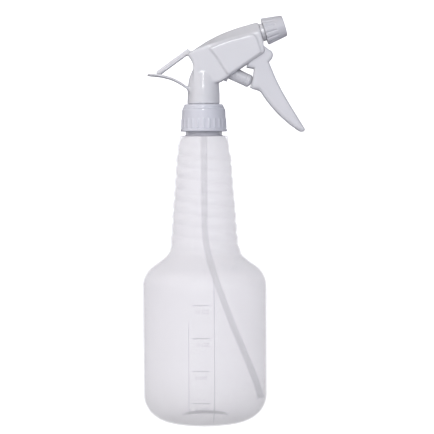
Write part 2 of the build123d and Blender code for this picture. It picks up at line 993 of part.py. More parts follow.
with BuildPart() as nozzle_cap:
    revolve(
        outline(
            spout_side,
            [
                (cap_rear, cap_bore),
                (cap_rear, cap_rear_radius - 0.3),
                (cap_rear + 0.3, cap_rear_radius),
                (cap_front - 0.5, cap_front_radius),
                (cap_front, cap_front_radius - 0.5),
                (cap_front, 1.8),
                (cap_front - 0.8, orifice_radius),
                (cap_front - cap_front_wall, orifice_radius),
                (cap_front - cap_front_wall, spigot_radius + 0.3),
                (ring_place + ring_section + 0.1, spigot_radius + 0.3),
                (ring_place + ring_section + 0.1, ring_bore),
                (ring_place - ring_section - 0.1, ring_bore),
                (ring_place - ring_section - 0.1, cap_bore),
            ],
        ),
        axis=spout_axis,
    )
    cap_slope = (cap_rear_radius - cap_front_radius) / cap_length
    for flute in range(cap_flutes):
        angle = 360 / cap_flutes * flute
        rod = Rot(0, 0, angle) * Pos(cap_rear_radius + flute_radius * 0.35, 0, cap_rear - 1)
        cutter = rod * Rot(0, -8.8, 0) * Cylinder(
            flute_radius,
            flute_length + 1,
            align=(Align.CENTER, Align.CENTER, Align.MIN),
            mode=Mode.PRIVATE,
        )
        add(spout_plane.location * cutter, mode=Mode.SUBTRACT)
    add(
        spout_plane.location
        * thread(
            cap_bore,
            cap_bore + 0.2,
            nozzle_thread_radius + 0.2,
            1.0,
            0.4,
            nozzle_pitch,
            nozzle_turns,
            thread_start_along + 1.6 - nozzle_pitch / 2,
        )
    )
nozzle_cap.part.label = "nozzle_cap"

with BuildPart() as nozzle_ring:
    with BuildSketch(spout_side):
        with Locations((ring_place, spigot_radius + seat_clearance / 2 + ring_section)):
            Circle(ring_section - seat_clearance / 2)
    revolve(axis=spout_axis)
nozzle_ring.part.label = "nozzle_ring"

# --- write every piece --------------------------------------------------------------------------

pieces = [
    bottle,
    closure,
    bottle_gasket,
    pump_body,
    shroud,
    tube_retainer,
    dip_tube,
    inlet_ball,
    outlet_ball,
    piston,
    piston_cup_outer,
    piston_cup_inner,
    return_spring,
    trigger,
    nozzle_seat,
    swirl_core,
    nozzle_cap,
    nozzle_ring,
]
os.makedirs("parts", exist_ok=True)
for piece in pieces:
    export_step(piece.part, f"parts/{piece.part.label}.step")
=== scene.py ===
from math import atan2, cos, pi, radians, sin

import bmesh
import bpy
import numpy as np
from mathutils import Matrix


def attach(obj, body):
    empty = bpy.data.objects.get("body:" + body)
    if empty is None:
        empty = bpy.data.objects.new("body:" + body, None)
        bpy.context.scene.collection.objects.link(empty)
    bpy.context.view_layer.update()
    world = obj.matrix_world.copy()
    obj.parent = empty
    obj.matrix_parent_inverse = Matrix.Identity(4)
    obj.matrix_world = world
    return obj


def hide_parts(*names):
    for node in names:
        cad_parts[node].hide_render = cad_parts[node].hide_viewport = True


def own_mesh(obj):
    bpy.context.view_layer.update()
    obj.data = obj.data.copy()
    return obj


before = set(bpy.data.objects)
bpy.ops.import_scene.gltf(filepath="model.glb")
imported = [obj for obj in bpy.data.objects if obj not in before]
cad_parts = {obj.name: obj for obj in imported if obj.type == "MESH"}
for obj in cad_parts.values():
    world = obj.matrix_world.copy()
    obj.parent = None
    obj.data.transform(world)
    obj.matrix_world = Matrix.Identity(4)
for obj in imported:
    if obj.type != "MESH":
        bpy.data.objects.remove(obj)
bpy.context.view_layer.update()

# A trigger spray bottle. Shapes are worked out in millimetres and put into the mesh in metres.
MM = 0.001

# --- sizes shared with the solids, in millimetres ------------------------------------------------

BODY_RADIUS = 42.5
WALL = 1.0
DECK_HEIGHT = 195.0
FINISH_RADIUS = 12.4
MOUTH_RADIUS = 10.5
MOUTH_HEIGHT = 211.4
CLOSURE_BOTTOM = 197.9
CLOSURE_TOP = 216.4
COLUMN_BOTTOM = 216.6
THREAD_PITCH = 4.23
THREAD_TURNS = 1.25
THREAD_START = DECK_HEIGHT + 6.5
SPOUT = np.array([40.0, 0.0, 264.9])
SPOUT_TILT = radians(17.0)
PUMP = np.array([18.6, 0.0, 237.9])
PUMP_TILT = radians(-25.5)
PIVOT = (39.5, 252.5)


# --- mesh making ---------------------------------------------------------------------------------


def piece(name, points, faces, material, body, slot, replaces=(), sharp=35.0):
    """A named object from an array of points in millimetres and an array of faces, riding on a body.

    Coinciding points are merged, so seams and poles close, and normals are made to face outwards.
    """
    mesh = bpy.data.meshes.new(name)
    mesh.from_pydata((np.asarray(points) * MM).tolist(), [], np.asarray(faces).tolist())
    work = bmesh.new()
    work.from_mesh(mesh)
    bmesh.ops.remove_doubles(work, verts=work.verts, dist=2e-6)
    bmesh.ops.dissolve_degenerate(work, edges=work.edges, dist=1e-7)
    bmesh.ops.recalc_face_normals(work, faces=work.faces)
    work.to_mesh(mesh)
    work.free()
    mesh.shade_smooth()
    mesh.set_sharp_from_angle(angle=radians(sharp))
    made = bpy.data.objects.new(name, mesh)
    bpy.context.scene.collection.objects.link(made)
    mesh.materials.append(material)
    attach(made, body)
    if replaces:
        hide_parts(*replaces)
    return made


def grid_faces(rows, columns, wrap_rows=False, wrap_columns=True):
    """The quads of a grid of points laid row by row, closed round either way or left open."""
    down = np.arange(rows if wrap_rows else rows - 1)[:, None]
    across = np.arange(columns if wrap_columns else columns - 1)[None, :]
    next_down, next_across = (down + 1) % rows, (across + 1) % columns
    corners = (
        down * columns + across,
        down * columns + next_across,
        next_down * columns + next_across,
        next_down * columns + across,
    )
    return np.stack(np.broadcast_arrays(*corners), -1).reshape(-1, 4)


def turned(radius, along, angles):
    """A surface of revolution as a grid: a radius and a height for each row, at each angle."""
    radius = np.broadcast_to(radius, (len(along), len(angles)))
    height = np.broadcast_to(np.asarray(along)[:, None], radius.shape)
    return np.stack((radius * np.cos(angles), radius * np.sin(angles), height), -1).reshape(-1, 3)


def round_angles(count):
    """Evenly spaced angles round a full turn."""
    return np.linspace(-pi, pi, count, endpoint=False)


def on_axis(points, origin, tilt):
    """Points made about +Z, carried to an axis that starts at an origin and rises at a tilt in XZ."""
    along = np.array([cos(tilt), 0.0, sin(tilt)])
    above = np.array([-sin(tilt), 0.0, cos(tilt)])
    beside = np.array([0.0, 1.0, 0.0])
    return origin + points[:, 2:3] * along + points[:, 0:1] * above + points[:, 1:2] * -beside


def evened(corners, step, soften=0.0):
    """A line of points resampled at an even step, then blurred over a width, its ends held."""
    corners = np.asarray(corners, float)
    lengths = np.concatenate(([0], np.cumsum(np.linalg.norm(np.diff(corners, axis=0), axis=1))))
    count = max(2, int(lengths[-1] / step) + 1)
    at = np.linspace(0, lengths[-1], count)
    line = np.stack([np.interp(at, lengths, corners[:, k]) for k in range(corners.shape[1])], -1)
    spread = int(soften / step)
    if spread > 1:
        kernel = np.hanning(2 * spread + 3)
        kernel /= kernel.sum()
        padded = np.concatenate(
            (
                2 * line[0] - line[spread + 1 : 0 : -1],
                line,
                2 * line[-1] - line[-2 : -spread - 3 : -1],
            )
        )
        line = np.stack(
            [np.convolve(padded[:, k], kernel, "valid") for k in range(line.shape[1])], -1
        )
    return line


def arc(centre, radius, start, stop, count):
    """Points along a circular arc, angles in degrees."""
    turn = np.radians(np.linspace(start, stop, count))
    return np.stack((centre[0] + radius * np.cos(turn), centre[1] + radius * np.sin(turn)), -1)


def smooth_step(low, high, value):
    """0 below low, 1 above high, and a smooth cubic between."""
    share = np.clip((value - low) / (high - low), 0, 1)
    return share * share * (3 - 2 * share)


def carried(section, path, sides=(0.0, 1.0, 0.0)):
    """A section of (across, up) points carried along a path, kept square to it.

    section may be one outline for the whole path, or one for each of its points.
    """
    path = np.asarray(path, float)
    ahead = np.gradient(path, axis=0)
    ahead /= np.linalg.norm(ahead, axis=1)[:, None]
    across = np.cross(ahead, np.asarray(sides))
    across /= np.linalg.norm(across, axis=1)[:, None]
    up = np.cross(across, ahead)
    section = np.broadcast_to(section, (len(path),) + np.asarray(section).shape[-2:])
    spread = section[:, :, 0:1] * across[:, None, :] + section[:, :, 1:2] * up[:, None, :]
    return (path[:, None, :] + spread).reshape(-1, 3)


def ring_of(radius, count):
    """A round section."""
    turn = round_angles(count)
    return np.stack((radius * np.cos(turn), radius * np.sin(turn)), -1)


def pipe(outer, inner, path, count):
    """A closed tube wall along a path: the outer skin out, and the inner skin back."""
    path = np.asarray(path, float)
    outside = carried(ring_of(outer, count), path)
    inside = carried(ring_of(inner, count), path).reshape(len(path), count, 3)
    skins = np.concatenate((outside, inside[::-1].reshape(-1, 3)))
    return skins, grid_faces(2 * len(path), count, wrap_rows=True)


def thread_ridge(core, rise, base, crest, pitch, turns, start, inwards=False, count=64):
    """A screw thread: a trapezoid carried up a helix, shrinking to nothing at both its ends."""
    turn = np.linspace(0, 2 * pi * turns, int(count * turns))
    grow = smooth_step(0, 0.5, turn) * smooth_step(0, 0.5, turn[-1] - turn)
    side = -1 if inwards else 1
    corners = np.array([[-0.25, -base / 2], [-0.25, base / 2], [rise, crest / 2], [rise, -crest / 2]])
    radius = core + side * corners[None, :, 0] * np.maximum(grow, 0.02)[:, None]
    height = start + pitch * turn[:, None] / (2 * pi) + corners[None, :, 1] * (0.3 + 0.7 * grow[:, None])
    points = np.stack(
        (radius * np.cos(turn)[:, None], radius * np.sin(turn)[:, None], height), -1
    )
    first, last = points[:1].mean(1, keepdims=True), points[-1:].mean(1, keepdims=True)
    points = np.concatenate(
        (np.broadcast_to(first, (1, 4, 3)), points, np.broadcast_to(last, (1, 4, 3)))
    )
    return points.reshape(-1, 3), grid_faces(len(points), 4)


def joined(*parts):
    """Several (points, faces) pairs as one."""
    points, faces, total = [], [], 0
    for some, quads in parts:
        points.append(some)
        faces.append(quads + total)
        total += len(some)
    return np.concatenate(points), np.concatenate(faces)


# --- moulded forms as distance fields ------------------------------------------------------------


def outline_distance(x, z, corners):
    """Signed distance in the XZ plane from a closed outline, negative inside it."""
    corners = np.asarray(corners, float)
    nearest = np.full(x.shape, 1e9)
    inside = np.zeros(x.shape, bool)
    for (ax, az), (bx, bz) in zip(corners, np.roll(corners, -1, 0)):
        run, rise = bx - ax, bz - az
        share = np.clip(((x - ax) * run + (z - az) * rise) / (run * run + rise * rise), 0, 1)
        nearest = np.minimum(nearest, np.hypot(x - ax - share * run, z - az - share * rise))
        if az != bz:
            inside ^= ((az > z) != (bz > z)) & (x < (bx - ax) * (z - az) / (bz - az) + ax)
    return np.where(inside, -nearest, nearest)


def both(a, b, soft=0.0):
    """The space inside two fields, with their meeting edge rounded over a softness."""
    if not soft:
        return np.maximum(a, b)
    blend = np.maximum(soft - np.abs(a - b), 0) / soft
    return np.maximum(a, b) + blend * blend * soft / 4


def either(a, b, soft=0.0):
    """The space inside one field or the other, with a fillet of a softness between them."""
    return -both(-a, -b, soft)


def skin(field, low, high, step):
    """The zero surface of a field sampled on a box of cells, as points and quads.

    Each cell that the surface crosses holds one point, the mean of the crossings on its edges,
    and each crossed edge makes a quad of the four cells round it.
    """
    low, high = np.asarray(low, float), np.asarray(high, float)
    counts = np.ceil((high - low) / step).astype(int) + 1
    axes = [low[k] + step * np.arange(counts[k]) for k in range(3)]
    value = field(*np.meshgrid(*axes, indexing="ij"))
    inside = value < 0
    cells = counts - 1
    total = np.zeros(tuple(cells) + (3,))
    crossings = np.zeros(tuple(cells))
    spans = []
    for k in range(3):
        here = [slice(None)] * 3
        there = [slice(None)] * 3
        here[k], there[k] = slice(0, -1), slice(1, None)
        a, b = value[tuple(here)], value[tuple(there)]
        crossed = inside[tuple(here)] != inside[tuple(there)]
        share = np.where(crossed, a / np.where(crossed, a - b, 1), 0)
        place = np.stack(
            np.meshgrid(*[np.arange(n) for n in crossed.shape], indexing="ij"), -1
        ).astype(float)
        place[..., k] += share
        others = [j for j in range(3) if j != k]
        for shift_a in (0, 1):
            for shift_b in (0, 1):
                window = [slice(None)] * 3
                window[others[0]] = slice(shift_a, shift_a + cells[others[0]])
                window[others[1]] = slice(shift_b, shift_b + cells[others[1]])
                mask = crossed[tuple(window)]
                total += np.where(mask[..., None], place[tuple(window)], 0)
                crossings += mask
        spans.append((k, others, crossed, inside[tuple(here)]))
    used = crossings > 0
    index = np.cumsum(used).reshape(used.shape) - 1
    points = low + step * total[used] / crossings[used][:, None]
    faces = []
    for k, others, crossed, begins_inside in spans:
        at = np.argwhere(crossed)
        a, b = others
        kept = (at[:, a] > 0) & (at[:, b] > 0) & (at[:, a] < cells[a]) & (at[:, b] < cells[b])
        at = at[kept]
        corners = []
        for da, db in ((1, 1), (0, 1), (0, 0), (1, 0)):
            cell = at.copy()
            cell[:, a] -= da
            cell[:, b] -= db
            corners.append(index[tuple(cell.T)])
        quads = np.stack(corners, -1)
        flip = begins_inside[tuple(at.T)] == (k == 1)
        quads[flip] = quads[flip][:, ::-1]
        faces.append(quads)
    return points, np.concatenate(faces)


# --- finishes ------------------------------------------------------------------------------------


def node(tree, kind, **values):
    """A shader node with its settings and inputs given by name."""
    made = tree.nodes.new(kind)
    for key, value in values.items():
        if hasattr(made, key):
            setattr(made, key, value)
        else:
            made.inputs[key.replace("_", " ")].default_value = value
    return made


def moulded_group():
    """Moulded plastic: a mottled colour, uneven gloss, and an orange-peel height with fine scuffs."""
    group = bpy.data.node_groups.new("moulded_plastic", "ShaderNodeTree")
    sockets = group.interface
    for name, kind in (
        ("Colour", "NodeSocketColor"),
        ("Roughness", "NodeSocketFloat"),
        ("Grain", "NodeSocketFloat"),
        ("Mottle", "NodeSocketFloat"),
    ):
        sockets.new_socket(name, in_out="INPUT", socket_type=kind)
    for name, kind in (
        ("Colour", "NodeSocketColor"),
        ("Roughness", "NodeSocketFloat"),
        ("Height", "NodeSocketFloat"),
    ):
        sockets.new_socket(name, in_out="OUTPUT", socket_type=kind)
    link = group.links.new
    given = node(group, "NodeGroupInput")
    place = node(group, "ShaderNodeTexCoord")
    peel = node(group, "ShaderNodeTexNoise", Detail=2.0, Roughness=0.5)
    cloud = node(group, "ShaderNodeTexNoise", Scale=38.0, Detail=4.0, Roughness=0.55)
    scuff = node(group, "ShaderNodeTexNoise", Scale=900.0, Detail=3.0, Roughness=0.7)
    link(place.outputs["Object"], peel.inputs["Vector"])
    link(place.outputs["Object"], cloud.inputs["Vector"])
    link(place.outputs["Object"], scuff.inputs["Vector"])
    link(given.outputs["Grain"], peel.inputs["Scale"])
    shade = node(group, "ShaderNodeMapRange", From_Min=0.3, From_Max=0.7, To_Min=-0.5, To_Max=0.5)
    link(cloud.outputs["Fac"], shade.inputs["Value"])
    amount = node(group, "ShaderNodeMath", operation="MULTIPLY")
    link(shade.outputs["Result"], amount.inputs[0])
    link(given.outputs["Mottle"], amount.inputs[1])
    lift = node(group, "ShaderNodeMath", operation="ADD")
    lift.inputs[1].default_value = 1.0
    link(amount.outputs[0], lift.inputs[0])
    tint = node(group, "ShaderNodeVectorMath", operation="SCALE")
    link(given.outputs["Colour"], tint.inputs[0])
    link(lift.outputs[0], tint.inputs["Scale"])
    gloss = node(group, "ShaderNodeMapRange", From_Min=0.35, From_Max=0.65, To_Min=-0.05, To_Max=0.05)
    link(scuff.outputs["Fac"], gloss.inputs["Value"])
    rough = node(group, "ShaderNodeMath", operation="ADD", use_clamp=True)
    link(gloss.outputs["Result"], rough.inputs[0])
    link(given.outputs["Roughness"], rough.inputs[1])
    result = node(group, "NodeGroupOutput")
    link(tint.outputs[0], result.inputs["Colour"])
    link(rough.outputs[0], result.inputs["Roughness"])
    link(peel.outputs["Fac"], result.inputs["Height"])
    return group


MOULDED = moulded_group()


def plastic(
    name, colour, roughness, grain=260.0, mottle=0.03, bump=0.02, coat=0.0, alpha=1.0, base=1.0, glow=0.0
):
    """A plastic finish on the shared moulded group, with its own colour, gloss and clearness; a base below 1
    paints shade that darkens it towards the bottom.
    """
    made = bpy.data.materials.new(name)
    made.use_nodes = True
    tree = made.node_tree
    shader = tree.nodes["Principled BSDF"]
    shader.inputs["IOR"].default_value = 1.49
    shader.inputs["Coat Weight"].default_value = coat
    shader.inputs["Coat Roughness"].default_value = 0.06
    shader.inputs["Subsurface Weight"].default_value = glow
    shader.inputs["Subsurface Radius"].default_value = (1.0, 0.9, 0.9)
    shader.inputs["Subsurface Scale"].default_value = 0.0015
    shader.inputs["Alpha"].default_value = alpha
    surface = node(tree, "ShaderNodeGroup", node_tree=MOULDED)
    surface.inputs["Colour"].default_value = (*colour, 1)
    surface.inputs["Roughness"].default_value = roughness
    surface.inputs["Grain"].default_value = grain
    surface.inputs["Mottle"].default_value = mottle
    relief = node(tree, "ShaderNodeBump", Strength=bump, Distance=0.0004)
    tree.links.new(surface.outputs["Colour"], shader.inputs["Base Color"])
    tree.links.new(surface.outputs["Roughness"], shader.inputs["Roughness"])
    tree.links.new(surface.outputs["Height"], relief.inputs["Height"])
    tree.links.new(relief.outputs["Normal"], shader.inputs["Normal"])
    if base < 1:
        # Painted shade: the colour is darkened towards the bottom, down to base times itself at the foot.
        place = node(tree, "ShaderNodeTexCoord")
        split = node(tree, "ShaderNodeSeparateXYZ")
        level = node(tree, "ShaderNodeMapRange", From_Min=0.002, From_Max=0.034, To_Min=base, To_Max=1.0)
        level.interpolation_type = "SMOOTHSTEP"
        painted_foot_shade = node(tree, "ShaderNodeVectorMath", operation="SCALE")
        tree.links.new(place.outputs["Object"], split.inputs[0])
        tree.links.new(split.outputs["Z"], level.inputs["Value"])
        tree.links.new(surface.outputs["Colour"], painted_foot_shade.inputs[0])
        tree.links.new(level.outputs["Result"], painted_foot_shade.inputs["Scale"])
        tree.links.new(painted_foot_shade.outputs[0], shader.inputs["Base Color"])
    return made


def metal(name, colour, roughness):
    """Drawn stainless steel with fine streaks in its gloss."""
    made = bpy.data.materials.new(name)
    made.use_nodes = True
    tree = made.node_tree
    shader = tree.nodes["Principled BSDF"]
    shader.inputs["Base Color"].default_value = (*colour, 1)
    shader.inputs["Metallic"].default_value = 1.0
    place = node(tree, "ShaderNodeTexCoord")
    streak = node(tree, "ShaderNodeTexNoise", Scale=1500.0, Detail=2.0)
    spread = node(tree, "ShaderNodeMapRange", To_Min=roughness - 0.06, To_Max=roughness + 0.08)
    tree.links.new(place.outputs["Object"], streak.inputs["Vector"])
    tree.links.new(streak.outputs["Fac"], spread.inputs["Value"])
    tree.links.new(spread.outputs["Result"], shader.inputs["Roughness"])
    return made


# The milky wall's base=0.72 paints shade on the bottle, darker towards the bottom.
MILKY = plastic("milky_wall", (0.98, 0.95, 0.995), 0.33, 150.0, 0.015, 0.015, 0.05, 0.25, base=0.72)
# The neck finish: thicker, more opaque plastic, its colour also darkened as painted shade from the closure
# above it.
THICK_SHADED_WALL = plastic("thick_finish_painted_shade", (0.74, 0.74, 0.80), 0.24, 150.0, 0.03, 0.03, 0.1, 0.6)
MARKS = plastic("raised_marks", (0.86, 0.85, 0.90), 0.25, 150.0, 0.02, 0.02, 0.2, 0.22)
CASING = plastic("casing_white", (0.83, 0.83, 0.86), 0.16, 220.0, 0.015, 0.02, 0.35, glow=0.15)
LEVER = plastic("trigger_white", (0.82, 0.82, 0.855), 0.20, 220.0, 0.015, 0.02, 0.25, glow=0.15)
SCREW_RING = plastic("closure_white", (0.80, 0.81, 0.88), 0.20, 240.0, 0.02, 0.02, 0.3, glow=0.1)
TIP = plastic("nozzle_white", (0.76, 0.76, 0.80), 0.18, 240.0, 0.02, 0.02, 0.3, glow=0.1)
INNER = plastic("inner_white", (0.78, 0.78, 0.81), 0.28, 240.0, 0.02, 0.03, glow=0.1)
TUBE = plastic("tube_clear", (0.86, 0.86, 0.91), 0.25, 200.0, 0.02, 0.02, 0.1, 0.085)
SEAL = plastic("seal_soft", (0.76, 0.77, 0.78), 0.45, 400.0, 0.03, 0.05)
FOAM = plastic("liner_foam", (0.82, 0.82, 0.79), 0.7, 1400.0, 0.05, 0.4)
DARK_SEAL = plastic("ring_rubber", (0.03, 0.03, 0.033), 0.5, 500.0, 0.05, 0.05)
STEEL = metal("stainless", (0.62, 0.63, 0.65), 0.24)


# --- bottle --------------------------------------------------------------------------------------

SHOULDER = [
    (42.5, 93.0), (42.35, 95.1), (42.05, 96.5), (41.6, 97.9), (41.0, 99.2), (40.35, 100.6),
    (39.6, 102.0), (38.6, 103.3), (37.2, 104.7), (35.4, 106.1), (33.4, 107.4), (31.5, 108.8),
    (29.7, 110.2), (28.1, 111.5), (26.6, 112.9), (25.3, 114.3), (24.4, 115.6), (23.8, 117.0),
    (23.2, 119.7),
]
NECK = [(22.5, 122.5), (21.9, 130.0), (20.9, 145.0), (19.6, 160.7), (18.5, 177.1), (17.6, 186.0)]
RIB_PITCH = 7.8
RIB_HEIGHT = 0.85
RIB_TOP = 187.4


def spiral_ribs(angle, height):
    """How far the grip's two-start spiral stands out: rounded ribs with sharp grooves between.

    Counting down from the top rib at the left, a rib falls by two pitches in a full turn. Each
    start fades in and out at its own ends along the helix.
    """
    fall = (RIB_TOP - height) / RIB_PITCH - (angle + pi) / pi
    rib = np.round(fall)
    across = fall - rib
    bulge = (1 - np.abs(2 * across) ** 2.2) * RIB_HEIGHT
    unrolled = angle + pi + pi * rib
    even = np.mod(rib, 2) == 0
    begins = np.where(even, -0.35 * pi, 0.5 * pi)
    ends = np.where(even, 9.5 * pi, 8.5 * pi)
    fade = smooth_step(0, 0.5 * pi, unrolled - begins) * smooth_step(0, 0.4 * pi, ends - unrolled)
    return bulge * fade


def bottle_line(inset):
    """The bottle's half section from the base's centre to the mouth, drawn in by a wall."""
    corner = 18.5
    heel = arc((BODY_RADIUS - corner, corner), corner - inset, -90, 0, 26)
    base = evened([(0.0, 4.0 + inset), (8.0, 3.8 + inset), (15.0, 3.0 + inset), (20.0, 0.9 + inset),
                   (21.6, 0.15 + inset), (heel[0, 0], inset)], 1.0, 3.0)
    wall = np.array([(BODY_RADIUS - inset, z) for z in np.linspace(corner + 2, 90, 22)])
    rising = evened([(r - inset * 0.9, z - inset * 0.45) for r, z in SHOULDER + NECK], 0.55, 1.6)
    top = DECK_HEIGHT
    if inset:
        deck = np.array([(16.2, 191.0), (15.4, 193.0), (14.2, 194.6), (12.0, 195.6), (10.8, 196.6)])
        mouth = np.array([(MOUTH_RADIUS, z) for z in (197.5, 204.0, MOUTH_HEIGHT - 0.5)])
    else:
        deck = np.concatenate((
            evened([(17.55, 186.6), (17.1, 189.6), (16.75, 192.4), (16.55, 193.9)], 0.6),
            arc((15.75, top - 0.75), 0.75, 12, 90, 8),
            [(14.0, top), (13.2, top)],
            arc((13.3, top + 0.9), 0.9, -90, -180, 5),
        ))
        mouth = np.concatenate((
            [(FINISH_RADIUS, z) for z in np.linspace(top + 1.4, MOUTH_HEIGHT - 0.8, 14)],
            arc((FINISH_RADIUS - 0.5, MOUTH_HEIGHT - 0.5), 0.5, 0, 90, 5),
            arc((MOUTH_RADIUS + 0.3, MOUTH_HEIGHT - 0.3), 0.3, 90, 180, 4),
        ))
    return np.concatenate((base, heel[1:], wall, rising, deck, mouth))


def bottle_skins():
    """The bottle as one closed wall: the outer line up, and the inner line back down."""
    outer, inner = bottle_line(0.0), bottle_line(WALL)
    angles = round_angles(168)
    rib = spiral_ribs(angles[None, :], outer[:, 1:2])
    window = smooth_step(108, 116, outer[:, 1:2]) * smooth_step(194, 191, outer[:, 1:2])
    outside = turned(outer[:, 0:1] + rib * window, outer[:, 1], angles)
    fine = turned(inner[::-1, 0:1] + spiral_ribs(angles[None, :], inner[::-1, 1:2])
                  * smooth_step(108, 116, inner[::-1, 1:2]) * smooth_step(193, 190, inner[::-1, 1:2]) * 0.85,
                  inner[::-1, 1], angles)
    points = np.concatenate((outside, fine))
    return points, grid_faces(len(outer) + len(inner), len(angles))


bottle_skin = piece("bottle_skin", *bottle_skins(), MILKY, "bottle", "bottle", ["bottle"], 50)
# Faces above the deck take the darker finish: a thicker wall, and painted shade under the closure.
bottle_skin.data.materials.append(THICK_SHADED_WALL)
middles = np.empty(3 * len(bottle_skin.data.polygons))
bottle_skin.data.polygons.foreach_get("center", middles)
bottle_skin.data.polygons.foreach_set(
    "material_index", (middles[2::3] > (DECK_HEIGHT - 0.2) * MM).astype(np.int32)
)
piece(
    "neck_thread",
    *thread_ridge(FINISH_RADIUS, 1.2, 2.0, 0.9, THREAD_PITCH, THREAD_TURNS, THREAD_START),
    THICK_SHADED_WALL, "bottle", "bottle",
)


def bar_mark(left, right, low, high, rise=0.28, across=24):
    """A raised bar with a rounded back, as a grid across its width, closed on itself."""
    short, long_way = (high - low, right - left)
    upright = short > long_way
    run = np.linspace(0, 1, across)
    around = np.linspace(0, pi, 7)
    side = (1 - np.cos(around)) / 2
    lift = np.sin(around) * rise
    taper = np.minimum(1, np.minimum(run, 1 - run) * max(short, long_way) / 0.5)
    if upright:
        x = left + side[None, :] * long_way + 0 * run[:, None]
        z = low + run[:, None] * short + 0 * side[None, :]
    else:
        x = left + run[:, None] * long_way + 0 * side[None, :]
        z = low + side[None, :] * short + 0 * run[:, None]
    top = np.stack((x, z, lift[None, :] * taper[:, None] - 0.05), -1)
    under = top[:, ::-1].copy()
    under[..., 2] = -0.12
    ring = np.concatenate((top, under), 1)
    return ring.reshape(-1, 3), grid_faces(across, ring.shape[1]), ring.shape[1]


def capped_bar(*size, **more):
    """A raised bar whose two ends are closed."""
    points, faces, ring = bar_mark(*size, **more)
    total = len(points)
    starts = points[:ring].mean(0)
    stops = points[-ring:].mean(0)
    points = np.concatenate((points, [starts, stops]))
    around = np.arange(ring)
    ahead = (around + 1) % ring
    first = np.stack((ahead, around, np.full(ring, total), np.full(ring, total)), -1)
    end_ring, end_hub = total - ring, np.full(ring, total + 1)
    last = np.stack((end_ring + around, end_ring + ahead, end_hub, end_hub), -1)
    return points, np.concatenate((faces, first, last))


def lettered(words, size, left, base, rise=0.22):
    """Raised lettering as triangles: a filled text outline given a thickness."""
    font = bpy.data.curves.new("numerals", "FONT")
    font.body = words
    font.size = size
    font.extrude = rise
    font.resolution_u = 2
    holder = bpy.data.objects.new("numerals", font)
    mesh = bpy.data.meshes.new_from_object(holder)
    points = np.array([v.co[:] for v in mesh.vertices])
    mesh.calc_loop_triangles()
    faces = np.array([t.vertices[:] for t in mesh.loop_triangles])
    bpy.data.objects.remove(holder)
    bpy.data.meshes.remove(mesh)
    points[:, 0] += left
    points[:, 1] += base
    return points, np.concatenate((faces, faces[:, 2:3]), 1)


def flat_marks():
    """The measuring strip: a tick and a numeral every four ounces, between two upright lines."""
    parts = [
        capped_bar(6.3, 6.8, 5.0, 99.0, rise=0.16, across=60),
        capped_bar(-10.8, -10.4, 8.0, 72.0, rise=0.12, across=40),
    ]
    for number, height in zip((16, 12, 8, 4), (83.2, 61.4, 39.6, 18.4)):
        parts.append(capped_bar(-7.8, 3.2, height - 0.35, height + 0.35))
        parts.append(lettered(f"{number} OZ", 3.6, -6.4, height - 5.4))
    return joined(*parts)


marks, mark_faces = flat_marks()
MARK_HEEL = 18.5
heel_reach = np.sqrt(np.maximum(MARK_HEEL**2 - (MARK_HEEL - marks[:, 1]) ** 2, 0))
sunk = np.where(marks[:, 1] < MARK_HEEL, BODY_RADIUS - MARK_HEEL + heel_reach, BODY_RADIUS)
turn = marks[:, 0] / BODY_RADIUS - pi / 2
reach = sunk + marks[:, 2]
piece(
    "bottle_marks",
    np.stack((reach * np.cos(turn), reach * np.sin(turn), marks[:, 1]), -1),
    mark_faces, MARKS, "bottle", "bottle",
)


# --- closure -------------------------------------------------------------------------------------


GRIPS = 24


def closure_skins():
    """The screw ring: a ribbed flaring skirt, a foot bead, a shoulder and a rolled top edge."""
    low, top = CLOSURE_BOTTOM, CLOSURE_TOP
    outer = evened(
        [(14.2, low + 0.05), (15.4, low), (15.75, low + 0.25), (15.85, low + 0.9), (15.75, low + 1.5),
         (15.2, low + 1.9), (15.1, low + 3.0), (14.85, low + 10.6), (14.75, top - 4.4), (14.6, top - 3.4),
         (14.2, top - 2.9), (13.8, top - 2.75), (13.6, top - 2.3), (13.5, top - 1.3), (13.2, top - 0.5),
         (12.6, top - 0.05), (12.0, top), (9.7, top)], 0.3, 0.5)
    inner = evened(
        [(9.7, top - 1.8), (13.9, top - 1.8), (14.0, top - 2.2), (14.0, low + 0.4), (14.2, low + 0.05)], 0.6)
    angles = round_angles(GRIPS * 16)
    wave = 0.5 + 0.5 * np.cos(GRIPS * angles)
    bars = (wave**2.5)[None, :]
    height = outer[:, 1:2]
    window = smooth_step(low + 2.0, low + 2.5, height) * smooth_step(low + 9.2, low + 7.9, height)
    skirt = turned(outer[:, 0:1] + 0.38 * bars * window, outer[:, 1], angles)
    lining = turned(inner[:, 0:1], inner[:, 1], angles)
    return np.concatenate((skirt, lining)), grid_faces(len(outer) + len(inner), len(angles), wrap_rows=True)


piece(
    "closure_skin",
    *joined(
        closure_skins(),
        thread_ridge(
            14.0, 1.15, 2.0, 0.9, THREAD_PITCH, THREAD_TURNS, THREAD_START - THREAD_PITCH / 2, inwards=True
        ),
    ),
    SCREW_RING, "closure", "closure", ["closure"],
)


# --- shroud: casing, column, strut and saddle ----------------------------------------------------

